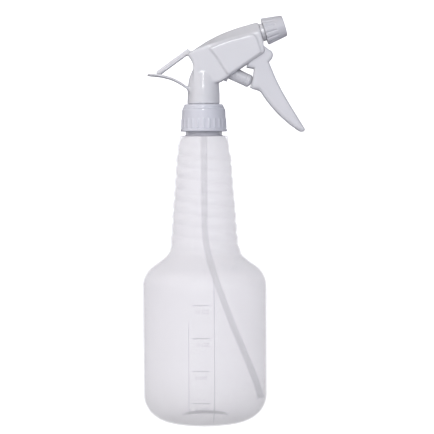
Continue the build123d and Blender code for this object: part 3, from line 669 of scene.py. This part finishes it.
ROOF = evened([(-13.5, 248.3), (-11.2, 250.1), (-7.5, 252.9), (-2.5, 256.1), (2.4, 259.2), (9.0, 262.6),
               (15.7, 265.5), (23.9, 268.3), (37.0, 271.9), (44.0, 273.9)], 0.5, 3.0)
SIDE = [(-10.8, 250.3), (-7.5, 252.9), (-2.5, 256.1), (2.4, 259.2), (9.0, 262.6), (15.7, 265.5),
        (23.9, 268.3),
        (36.6, 271.8), (37.3, 271.0), (40.9, 257.3), (41.5, 251.6), (41.2, 250.8), (12.3, 231.7),
        (9.2, 230.6), (-6.6, 230.6), (-7.0, 234.0), (-7.0, 242.7), (-7.9, 245.6), (-9.2, 247.8)]
PANEL = [(3.6, 253.9), (9.0, 256.3), (15.0, 258.6), (22.0, 260.8), (31.0, 263.6), (34.6, 262.6),
         (36.4, 260.0), (39.2, 251.6), (38.6, 250.4), (17.5, 236.0), (15.6, 237.0), (7.4, 249.6)]
HALF_WIDTH = 8.5
PANEL_HALF = 9.55
RIDGE_HALF = 1.6
ROOF_DROP = [(-12.0, 0.3), (-6.0, 0.8), (2.0, 2.8), (12.0, 5.0), (24.0, 6.0), (40.0, 6.6)]
SHELL = 1.3


def casing_field(x, y, z, inset):
    """The casing's head: its side outline between two flanks, each with a raised panel, and a roof.

    The roof falls from a narrow ridge to each flank, by a drop that grows from the tail forwards.
    """
    side = outline_distance(x, z, SIDE) + inset
    flank = both(side, np.abs(y) - HALF_WIDTH + inset, 1.8)
    panel = both(outline_distance(x, z, PANEL) + inset, np.abs(y) - PANEL_HALF + inset, 1.3)
    roof = np.interp(x, ROOF[:, 0], ROOF[:, 1])
    drop = np.interp(x, *zip(*ROOF_DROP))
    run = HALF_WIDTH - RIDGE_HALF
    depth = (roof - z) * 0.93 - inset * 0.4
    slope = ((np.abs(y) - RIDGE_HALF + inset * 0.6) * drop - depth * run) / np.hypot(run, drop)
    return both(either(flank, panel, 0.7), slope, 0.9)


def column_field(x, y, z, inset):
    """The tapering column with its arched top."""
    reach = np.hypot(x, y)
    radius = np.interp(z, [COLUMN_BOTTOM, 230.0], [11.1, 10.65]) - inset
    arch = np.clip((z - 226.5) / (18.1 - inset), 0, 1)
    radius = radius * np.sqrt(1 - arch**2)
    dome = z - (244.6 - inset)
    return both(reach - radius, dome, 0.8)


def strut_field(x, y, z):
    """The tail: a flange and web from the roof's end down to the saddle."""
    ax, az, bx, bz = -8.6, 251.6, -30.4, 235.9
    run, rise = bx - ax, bz - az
    length = np.hypot(run, rise)
    along = ((x - ax) * run + (z - az) * rise) / length
    below = ((x - ax) * rise - (z - az) * run) / length
    ends = np.maximum(-along, along - length)
    width = 4.6 + 2.0 * smooth_step(length - 6, length, along)
    flange = both(both(np.abs(below - 0.75) - 0.75, np.abs(y) - width, 0.5), ends)
    web = both(both(np.abs(below - 1.7) - 1.7, np.abs(y) - 0.7, 0.4), ends)
    return either(flange, web, 0.6)


SADDLE = evened([(-38.0, 236.4), (-33.0, 236.3), (-28.6, 235.7), (-21.6, 233.9), (-15.8, 230.9),
                 (-9.0, 226.0)], 1.0, 4.0)


def saddle_field(x, y, z):
    """The hand rest: a thin plate bent along its curve, round at its free end."""
    nearest = np.full(x.shape, 1e9)
    for (ax, az), (bx, bz) in zip(SADDLE[:-1], SADDLE[1:]):
        run, rise = bx - ax, bz - az
        share = np.clip(((x - ax) * run + (z - az) * rise) / (run * run + rise * rise), 0, 1)
        nearest = np.minimum(nearest, np.hypot(x - ax - share * run, z - az - share * rise))
    end = np.hypot(np.maximum(-29.0 - x, 0), np.maximum(np.abs(y) - 1.0, 0)) - 9.3
    side = np.abs(y) - 9.6 + 3.8 * smooth_step(-17.0, -9.5, x)
    return both(nearest - 0.72, np.maximum(end, side), 0.6)


def shroud_field(x, y, z):
    """The whole casing as one thin moulding, open below and pierced in front for the spout."""
    head = casing_field(x, y, z, 0.0)
    column = column_field(x, y, z, 0.0)
    solid = either(head, column, 0.9)
    inner = either(casing_field(x, y, z, SHELL), column_field(x, y, z, SHELL), 1.0)
    below = (z - 231.2) - (x - 11.8) * 0.668
    opening = both(both(below - 2.0, 10.9 - x), np.abs(y) - (HALF_WIDTH - SHELL))
    slot = both(both(36.0 - x, z - 257.2), np.abs(y) - 7.2)
    ahead = (x - SPOUT[0]) * cos(SPOUT_TILT) + (z - SPOUT[2]) * sin(SPOUT_TILT)
    rise = (z - SPOUT[2]) * cos(SPOUT_TILT) - (x - SPOUT[0]) * sin(SPOUT_TILT)
    spout = both(np.hypot(rise, y) - 4.9, np.abs(ahead) - 6)
    tail = either(strut_field(x, y, z), saddle_field(x, y, z), 1.2)
    tail = both(tail, -column_field(x, y, z, SHELL * 0.5))
    tail = both(tail, -casing_field(x, y, z, SHELL * 0.5))
    outside = either(solid, tail, 1.6)
    carved = both(outside, -inner)
    for hollow in (opening, slot, spout):
        carved = both(carved, -hollow)
    return both(carved, COLUMN_BOTTOM - z)


shroud_mesh = skin(shroud_field, (-39.5, -12.0, COLUMN_BOTTOM - 1.0), (42.5, 12.0, 273.0), 0.5)
piece("shroud_skin", *shroud_mesh, CASING, "sprayer", "shroud", ["shroud"], 60)


# --- trigger -------------------------------------------------------------------------------------

TRIGGER_FRONT = evened([(44.4, 244.6), (46.0, 241.0), (48.8, 234.0), (52.4, 226.6), (56.2, 219.9),
                        (60.0, 213.4), (63.7, 207.5), (68.6, 199.4)], 1.0, 4.0)
TRIGGER_BELLY = evened([(65.8, 197.4), (62.4, 199.4), (58.7, 202.1), (52.1, 207.9), (46.3, 214.1),
                        (41.3, 220.7), (38.0, 225.9)], 1.0, 4.0)
TRIGGER = np.concatenate((
    TRIGGER_FRONT, arc((67.1, 199.0), 1.6, 0, -110, 7), TRIGGER_BELLY,
    [(33.2, 226.6), (32.4, 228.0), (34.2, 240.2), (29.0, 241.2), (30.8, 248.5), (36.4, 254.6), (37.8, 255.8),
     (39.3, 256.3), (41.0, 255.9), (42.6, 254.8), (44.2, 253.4)],
    arc((43.0, 249.3), 4.2, 66, -50, 10),
))
TRIGGER_HOLLOW = [(20, 262), (45.4, 262), (45.2, 249.0), (43.3, 245.0), (46.9, 233.8), (54.4, 219.4),
                  (62.1, 206.7), (64.9, 201.8), (60.0, 196.0), (20, 190)]
PAD = [(31.4, 227.8), (36.2, 240.2), (38.0, 240.2), (34.6, 228.2), (46.5, 223.2), (46.5, 222.0)]


def trigger_field(x, y, z):
    """The trigger: its side outline between two cheeks, hollow from behind, with the piston's pad."""
    side = outline_distance(x, z, TRIGGER)
    solid = both(side, np.abs(y) - 6.5, 2.2)
    hollow = both(outline_distance(x, z, TRIGGER_HOLLOW), np.abs(y) - 4.9, 1.2)
    pad = both(outline_distance(x, z, PAD), np.abs(y) - 5.2)
    shape = either(both(solid, -hollow), pad, 0.5)
    pin = np.hypot(x - PIVOT[0], z - PIVOT[1]) - 1.87
    return both(shape, -pin)


trigger_mesh = skin(trigger_field, (27.5, -7.5, 195.5), (71.0, 7.5, 258.0), 0.45)
piece("trigger_skin", *trigger_mesh, LEVER, "trigger", "trigger", ["trigger"], 60)


# --- nozzle cap ----------------------------------------------------------------------------------


FLUTES = 14
FLUTE_PHASE = radians(75.5)


def cap_skins():
    """The tapering cap: fluted over its rear half, smooth in front, with a dished face and bore."""
    rear, front = 1.7, 15.9
    outer = evened([(6.1, rear), (8.9, rear), (9.3, rear + 0.4), (7.35, front - 0.9), (7.0, front - 0.25),
                    (6.5, front), (3.6, front), (3.2, front - 0.5), (2.2, front - 0.6),
                    (0.9, front - 1.2), (0.5, front - 1.6), (0.5, front - 2.0)], 0.28, 0.45)
    inner = evened(
        [(0.5, front - 2.1), (3.9, front - 2.1), (3.9, front - 6.0), (6.0, front - 6.4), (6.1, rear)], 0.5)
    count = FLUTES * 20
    angles = round_angles(count)
    wave = 0.5 + 0.5 * np.cos(FLUTES * (angles - FLUTE_PHASE))
    groove = (wave**4)[None, :]
    ahead = outer[:, 1:2]
    outside = smooth_step(6.0, 7.0, outer[:, 0:1])
    window = outside * smooth_step(rear - 0.2, rear + 0.6, ahead) * smooth_step(rear + 8.6, rear + 7.2, ahead)
    skin_points = turned(outer[:, 0:1] - 0.55 * groove * window, outer[:, 1], angles)
    lining = turned(inner[:, 0:1], inner[:, 1], angles)
    points = np.concatenate((skin_points, lining))
    return on_axis(points, SPOUT, SPOUT_TILT), grid_faces(len(outer) + len(inner), count, wrap_rows=True)


piece("nozzle_cap_skin", *cap_skins(), TIP, "nozzle_cap", "nozzle", ["nozzle_cap"])


# --- dip tube and return spring ------------------------------------------------------------------

TUBE_ROUTE = [(0, 0, 210.8), (0, 0, 180.0), (0, 0, 150.0), (0.2, 0, 122.0), (6.0, 0, 101.0),
              (15.6, 0, 74.0), (26.5, 0, 47.0), (35.2, 0, 27.0), (38.1, 0, 14.8)]
tube_line = evened(TUBE_ROUTE, 2.0, 22.0)
piece("dip_tube_skin", *pipe(2.5, 1.9, tube_line, 28), TUBE, "sprayer", "tube", ["dip_tube"])


def spring_coil():
    """The return spring's wire along a helix about the pump's axis."""
    start, stop, coils = -18.6, -6.9, 4
    turn = np.linspace(0, 2 * pi * coils, 40 * coils)
    along = np.linspace(start, stop, len(turn))
    line = np.stack((3.7 * np.cos(turn), 3.7 * np.sin(turn), along), -1)
    path = on_axis(line, PUMP, PUMP_TILT)
    ahead = np.gradient(path, axis=0)
    ahead /= np.linalg.norm(ahead, axis=1)[:, None]
    axis = np.array([cos(PUMP_TILT), 0, sin(PUMP_TILT)])
    out = np.cross(ahead, axis)
    out /= np.linalg.norm(out, axis=1)[:, None]
    up = np.cross(out, ahead)
    ring = ring_of(0.35, 10)
    points = path[:, None, :] + ring[None, :, 0:1] * out[:, None, :] + ring[None, :, 1:2] * up[:, None, :]
    head, foot = (np.broadcast_to(path[end], (1, 10, 3)) for end in (0, -1))
    caps = np.concatenate((head, points, foot))
    return caps.reshape(-1, 3), grid_faces(len(caps), 10)


spring = piece("return_spring_coil", *spring_coil(), STEEL, "sprayer", "steel", ["return_spring"])
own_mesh(spring)

# --- carried-over solids -------------------------------------------------------------------------

CARRIED = {
    "pump_body": INNER, "piston": INNER, "piston_cup_outer": SEAL, "piston_cup_inner": SEAL,
    "tube_retainer": INNER, "bottle_gasket": FOAM, "inlet_ball": STEEL, "outlet_ball": STEEL,
    "nozzle_seat": CASING, "swirl_core": INNER, "nozzle_ring": DARK_SEAL,
}
for carried_name, finish in CARRIED.items():
    carried_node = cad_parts[carried_name]
    for place in carried_node.material_slots:
        place.material = finish

# --- studio --------------------------------------------------------------------------------------

scene = bpy.context.scene
scene.view_settings.view_transform = "Standard"
scene.view_settings.look = "None"


def pale_floor():
    """A wide pale floor that lifts into a backdrop far behind."""
    run = evened([(-4.0, 0.0), (3.0, 0.0), (4.2, 0.25), (4.8, 1.2), (5.0, 5.0)], 0.1, 0.8)
    span = np.array([-8.0, 8.0])
    points = np.stack(
        (np.broadcast_to(span[None, :], (len(run), 2)), np.broadcast_to(run[:, 0:1], (len(run), 2)),
         np.broadcast_to(run[:, 1:2], (len(run), 2)) - 0.0001), -1
    ).reshape(-1, 3)
    mesh = bpy.data.meshes.new("floor")
    mesh.from_pydata(points.tolist(), [], grid_faces(len(run), 2, wrap_columns=False).tolist())
    mesh.shade_smooth()
    made = bpy.data.objects.new("floor", mesh)
    scene.collection.objects.link(made)
    paint = bpy.data.materials.new("floor_pale")
    paint.use_nodes = True
    tree = paint.node_tree
    shader = tree.nodes["Principled BSDF"]
    shader.inputs["Base Color"].default_value = (0.62, 0.62, 0.66, 1)
    shader.inputs["Roughness"].default_value = 0.9
    shader.inputs["Specular IOR Level"].default_value = 0.1
    shader.inputs["Emission Color"].default_value = (1, 1, 1, 1)
    path = node(tree, "ShaderNodeLightPath")
    tree.links.new(path.outputs["Is Camera Ray"], shader.inputs["Emission Strength"])
    mesh.materials.append(paint)


pale_floor()


def studio_air():
    """White to the eye; as light, a soft dome that is brightest in front and dim at the sides."""
    world = bpy.data.worlds.new("studio_air")
    world.use_nodes = True
    scene.world = world
    tree = world.node_tree
    air = tree.nodes["Background"]
    way = node(tree, "ShaderNodeTexCoord")
    split = node(tree, "ShaderNodeSeparateXYZ")
    front = node(tree, "ShaderNodeMapRange", From_Min=0.1, From_Max=-1.0, To_Min=AIR_SIDE, To_Max=AIR_FRONT)
    front.interpolation_type = "SMOOTHSTEP"
    left = node(tree, "ShaderNodeMapRange", From_Min=-1.0, From_Max=1.0, To_Min=1.2, To_Max=0.8)
    above = node(tree, "ShaderNodeMapRange", From_Min=0.15, From_Max=0.85, To_Min=1.0, To_Max=0.3)
    above.interpolation_type = "SMOOTHSTEP"
    dimmed = node(tree, "ShaderNodeMath", operation="MULTIPLY")
    light = node(tree, "ShaderNodeMath", operation="MULTIPLY")
    tint = node(tree, "ShaderNodeMix", data_type="RGBA")
    tint.inputs[6].default_value = (1.0, 0.985, 0.985, 1)
    tint.inputs[7].default_value = (0.88, 0.90, 1.0, 1)
    across = node(tree, "ShaderNodeMapRange", From_Min=-0.8, From_Max=0.8)
    path = node(tree, "ShaderNodeLightPath")
    seen = node(tree, "ShaderNodeMix", data_type="RGBA")
    seen.inputs[7].default_value = (1, 1, 1, 1)
    power = node(tree, "ShaderNodeMix", data_type="FLOAT")
    power.inputs[3].default_value = 1.0
    link = tree.links.new
    link(way.outputs["Generated"], split.inputs[0])
    link(split.outputs["Y"], front.inputs["Value"])
    link(split.outputs["X"], left.inputs["Value"])
    link(split.outputs["X"], across.inputs["Value"])
    link(across.outputs["Result"], tint.inputs[0])
    link(front.outputs["Result"], light.inputs[0])
    link(left.outputs["Result"], light.inputs[1])
    link(split.outputs["Z"], above.inputs["Value"])
    link(light.outputs[0], dimmed.inputs[0])
    link(above.outputs["Result"], dimmed.inputs[1])
    link(tint.outputs[2], seen.inputs[6])
    link(path.outputs["Is Camera Ray"], seen.inputs[0])
    link(dimmed.outputs[0], power.inputs[2])
    link(path.outputs["Is Camera Ray"], power.inputs[0])
    link(seen.outputs[2], air.inputs["Color"])
    link(power.outputs[0], air.inputs["Strength"])


AIR_FRONT, AIR_SIDE = 1.5, 0.22
studio_air()


def soft_light(name, azimuth, elevation, distance, size, power, colour=(1, 1, 1), aim=(0.0, 0.0, 0.15)):
    """A soft rectangle of light at a bearing from the front, facing the object."""
    turn, rise = radians(azimuth), radians(elevation)
    way = np.array([sin(turn) * cos(rise), -cos(turn) * cos(rise), sin(rise)])
    lamp = bpy.data.lights.new(name, "AREA")
    lamp.shape = "RECTANGLE"
    lamp.size, lamp.size_y = size
    lamp.energy = power
    lamp.color = colour
    made = bpy.data.objects.new(name, lamp)
    made.location = np.array(aim) + way * distance
    made.rotation_euler = (pi / 2 - rise, 0, turn)
    scene.collection.objects.link(made)


soft_light("key_front", -3, 25, 1.7, (0.2, 0.85), 4.6)
soft_light("left_edge", -78, 40, 1.4, (0.3, 0.5), 3.0, (1.0, 0.94, 0.92))

CAMERA_DISTANCE = 1.0
EYE_HEIGHT = 0.1853
LOOK_HEIGHT = 0.1395
camera_data = bpy.data.cameras.new("camera")
camera_data.lens = 121.45
camera_data.sensor_width = 36.0
camera = bpy.data.objects.new("camera", camera_data)
camera.location = (0.0089, -CAMERA_DISTANCE, EYE_HEIGHT)
camera.rotation_euler = (pi / 2 - atan2(EYE_HEIGHT - LOOK_HEIGHT, CAMERA_DISTANCE), radians(0.3), 0)
scene.collection.objects.link(camera)
scene.camera = camera
